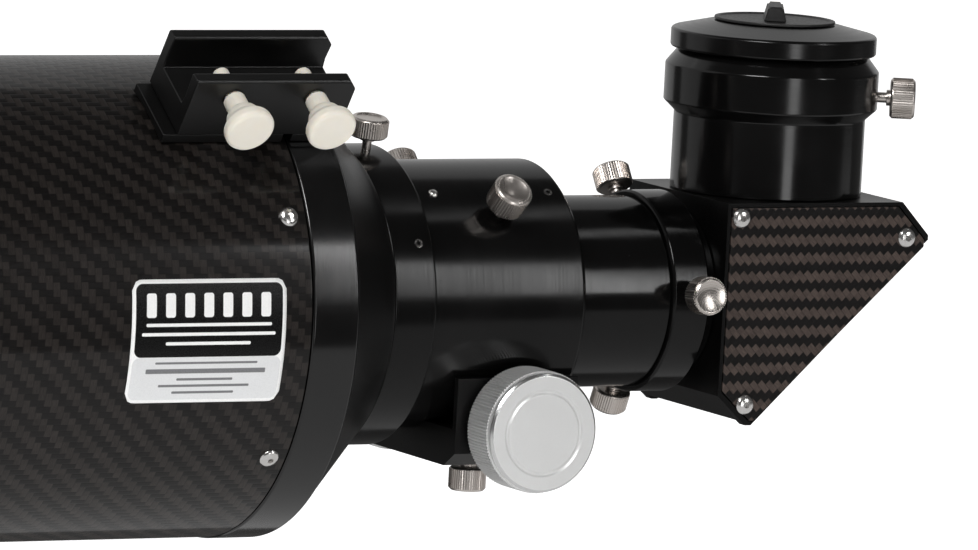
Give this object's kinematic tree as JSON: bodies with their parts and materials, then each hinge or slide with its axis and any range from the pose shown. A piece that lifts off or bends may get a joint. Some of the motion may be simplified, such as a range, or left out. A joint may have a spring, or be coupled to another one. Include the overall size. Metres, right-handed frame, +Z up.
{
  "type": "refractor telescope",
  "caption": "Carbon-tube refractor telescope in hinged cradle rings on a dovetail bar, with rack focuser, star diagonal, dust plug, sliding dew shield and finder shoe.",
  "frame": {"origin": "middle of the dovetail bar's flat underside", "axes": "+X along the light path from the objective to the eyepiece end, +Z up from the dovetail bar through the optical axis, -Y the side of the plain-faced coarse knob"},
  "size_m": [0.9726, 0.2075, 0.1986],
  "materials": {
    "carbon": "woven carbon fibre under clear gloss resin",
    "anodised": "black anodised, satin to gloss",
    "inner_black": "matt black light stop",
    "nickel": "nickel plated, knurled",
    "satin_silver": "satin silver anodised",
    "steel": "ground steel",
    "brass": "plain brass",
    "nylon": "ivory nylon",
    "glass": "coated optical glass",
    "mirror": "first-surface mirror",
    "black_plastic": "moulded black plastic"
  },
  "bodies": {
    "mount": {"dovetail_bar": "anodised", "cradle_front_lower": "anodised", "cradle_rear_lower": "anodised", "hinge_pin_front": "steel", "hinge_pin_rear": "steel"},
    "front_ring_cap": {"cradle_front_upper": "anodised"},
    "rear_ring_cap": {"cradle_rear_upper": "anodised"},
    "front_ring_knob": {"clamp_knob_front": "black_plastic"},
    "rear_ring_knob": {"clamp_knob_rear": "black_plastic"},
    "tube": {"main_tube": "carbon", "baffle_1": "inner_black", "baffle_2": "inner_black", "baffle_3": "inner_black", "objective_cell": "anodised", "lens_front": "glass", "lens_middle": "glass", "lens_rear": "glass", "lens_spacer_front": "inner_black", "lens_spacer_rear": "inner_black", "lens_retaining_ring": "anodised", "rear_end_ring": "anodised", "rear_cone": "anodised", "focuser_collar": "anodised", "finder_shoe": "anodised", "shoe_base": "anodised", "shoe_rear_foot": "anodised"},
    "dew_shield": {"dew_shield": "anodised"},
    "dew_shield_screw": {"dew_shield_lock_screw": "nickel"},
    "collar_screw": {"collar_lock_screw": "nickel"},
    "focuser": {"focuser_body": "anodised", "pinion_block": "anodised"},
    "focuser_lock": {"focuser_lock_screw": "nickel"},
    "drawtube_tension": {"drawtube_tension_screw": "nickel"},
    "pinion_tension": {"pinion_tension_screw": "nickel"},
    "drawtube": {"drawtube": "anodised", "drawtube_rack": "steel", "eyepiece_holder": "anodised", "holder_clamp_band": "brass"},
    "pinion": {"pinion_shaft": "steel", "coarse_knob_near": "satin_silver", "coarse_knob_far": "satin_silver"},
    "fine_focus": {"fine_focus_knob": "anodised"},
    "holder_screw_1": {"holder_screw_near": "nickel"},
    "holder_screw_2": {"holder_screw_top": "nickel"},
    "holder_screw_3": {"holder_screw_bottom": "nickel"},
    "diagonal": {"nosepiece": "anodised", "diagonal_housing": "anodised", "diagonal_plate_near": "carbon", "diagonal_plate_far": "carbon", "diagonal_mirror": "mirror", "diagonal_back_plate": "anodised", "eyepiece_barrel": "anodised", "barrel_clamp_band": "brass"},
    "eyepiece_lock": {"eyepiece_lock_screw": "nickel"},
    "adapter": {"eyepiece_adapter": "anodised"},
    "plug": {"dust_plug": "black_plastic"},
    "shoe_screw_1": {"shoe_screw_front": "nylon"},
    "shoe_screw_2": {"shoe_screw_rear": "nylon"}
  },
  "joints": [
    {"name": "tube_turn", "type": "hinge", "parent": "mount", "child": "tube", "pos_m": [0.3296, 0, 0.106], "axis": [1, 0, 0], "range_deg": [-180, 180]},
    {"name": "front_ring_open", "type": "hinge", "parent": "mount", "child": "front_ring_cap", "pos_m": [-0.1312, 0.092, 0.106], "axis": [-1, 0, 0], "range_deg": [0, 110]},
    {"name": "front_ring_knob_turn", "type": "hinge", "parent": "front_ring_cap", "child": "front_ring_knob", "pos_m": [-0.1312, -0.097, 0.106], "axis": [0, 0, 1], "range_deg": [0, 1080]},
    {"name": "rear_ring_open", "type": "hinge", "parent": "mount", "child": "rear_ring_cap", "pos_m": [0.1312, 0.092, 0.106], "axis": [-1, 0, 0], "range_deg": [0, 110]},
    {"name": "rear_ring_knob_turn", "type": "hinge", "parent": "rear_ring_cap", "child": "rear_ring_knob", "pos_m": [0.1312, -0.097, 0.106], "axis": [0, 0, 1], "range_deg": [0, 1080]},
    {"name": "dew_shield_slide", "type": "slide", "parent": "tube", "child": "dew_shield", "axis": [-1, 0, 0], "range_m": [0, 0.098]},
    {"name": "dew_shield_screw_turn", "type": "hinge", "parent": "dew_shield", "child": "dew_shield_screw", "pos_m": [-0.2059, 0, 0.106], "axis": [0, -0.5, 0.866], "range_deg": [0, 720]},
    {"name": "collar_screw_turn", "type": "hinge", "parent": "tube", "child": "collar_screw", "pos_m": [0.3816, 0, 0.106], "axis": [0, -0.1736, 0.9848], "range_deg": [0, 720]},
    {"name": "focuser_turn", "type": "hinge", "parent": "tube", "child": "focuser", "pos_m": [0.4096, 0, 0.106], "axis": [1, 0, 0], "range_deg": [-180, 180]},
    {"name": "focuser_lock_turn", "type": "hinge", "parent": "focuser", "child": "focuser_lock", "pos_m": [0.4186, 0, 0.106], "axis": [0, -0.7193, 0.6947], "range_deg": [0, 720]},
    {"name": "drawtube_tension_turn", "type": "hinge", "parent": "focuser", "child": "drawtube_tension", "pos_m": [0.4186, 0, 0.106], "axis": [0, 0.7193, 0.6947], "range_deg": [0, 720]},
    {"name": "pinion_tension_turn", "type": "hinge", "parent": "focuser", "child": "pinion_tension", "pos_m": [0.4181, -0.02, 0.051], "axis": [0, 0, -1], "range_deg": [0, 720]},
    {"name": "focus_travel", "type": "slide", "parent": "focuser", "child": "drawtube", "axis": [1, 0, 0], "range_m": [-0.035, 0.045]},
    {"name": "pinion_turn", "type": "hinge", "parent": "focuser", "child": "pinion", "pos_m": [0.4246, 0, 0.0687], "axis": [0, 1, 0], "range_deg": [-502, 645]},
    {"name": "fine_focus_turn", "type": "hinge", "parent": "focuser", "child": "fine_focus", "pos_m": [0.4246, 0, 0.0687], "axis": [0, 1, 0], "range_deg": [-5014, 6446]},
    {"name": "holder_screw_1_turn", "type": "hinge", "parent": "drawtube", "child": "holder_screw_1", "pos_m": [0.4898, 0, 0.106], "axis": [0, -0.9962, 0.0872], "range_deg": [0, 720]},
    {"name": "holder_screw_2_turn", "type": "hinge", "parent": "drawtube", "child": "holder_screw_2", "pos_m": [0.4898, 0, 0.106], "axis": [0, 0.5736, 0.8192], "range_deg": [0, 720]},
    {"name": "holder_screw_3_turn", "type": "hinge", "parent": "drawtube", "child": "holder_screw_3", "pos_m": [0.4898, 0, 0.106], "axis": [0, 0.4226, -0.9063], "range_deg": [0, 720]},
    {"name": "diagonal_turn", "type": "hinge", "parent": "drawtube", "child": "diagonal", "pos_m": [0.5096, 0, 0.106], "axis": [1, 0, 0], "range_deg": [-180, 180]},
    {"name": "eyepiece_lock_turn", "type": "hinge", "parent": "diagonal", "child": "eyepiece_lock", "pos_m": [0.5334, 0, 0.1703], "axis": [0.8746, -0.4848, 0], "range_deg": [0, 720]},
    {"name": "adapter_pull", "type": "slide", "parent": "diagonal", "child": "adapter", "axis": [0, 0, 1], "range_m": [0, 0.034]},
    {"name": "plug_pull", "type": "slide", "parent": "adapter", "child": "plug", "axis": [0, 0, 1], "range_m": [0, 0.02]},
    {"name": "shoe_screw_front_turn", "type": "hinge", "parent": "tube", "child": "shoe_screw_1", "pos_m": [0.3046, -0.05313, 0.1833], "axis": [0, -0.8241, -0.5664], "range_deg": [0, 1440]},
    {"name": "shoe_screw_rear_turn", "type": "hinge", "parent": "tube", "child": "shoe_screw_2", "pos_m": [0.3331, -0.05313, 0.1833], "axis": [0, -0.8241, -0.5664], "range_deg": [0, 1440]}
  ],
  "couplings": [
    {"joint": "pinion_turn", "follows": "focus_travel", "rad_per_m": 250},
    {"joint": "fine_focus_turn", "follows": "focus_travel", "rad_per_m": 2500}
  ]
}
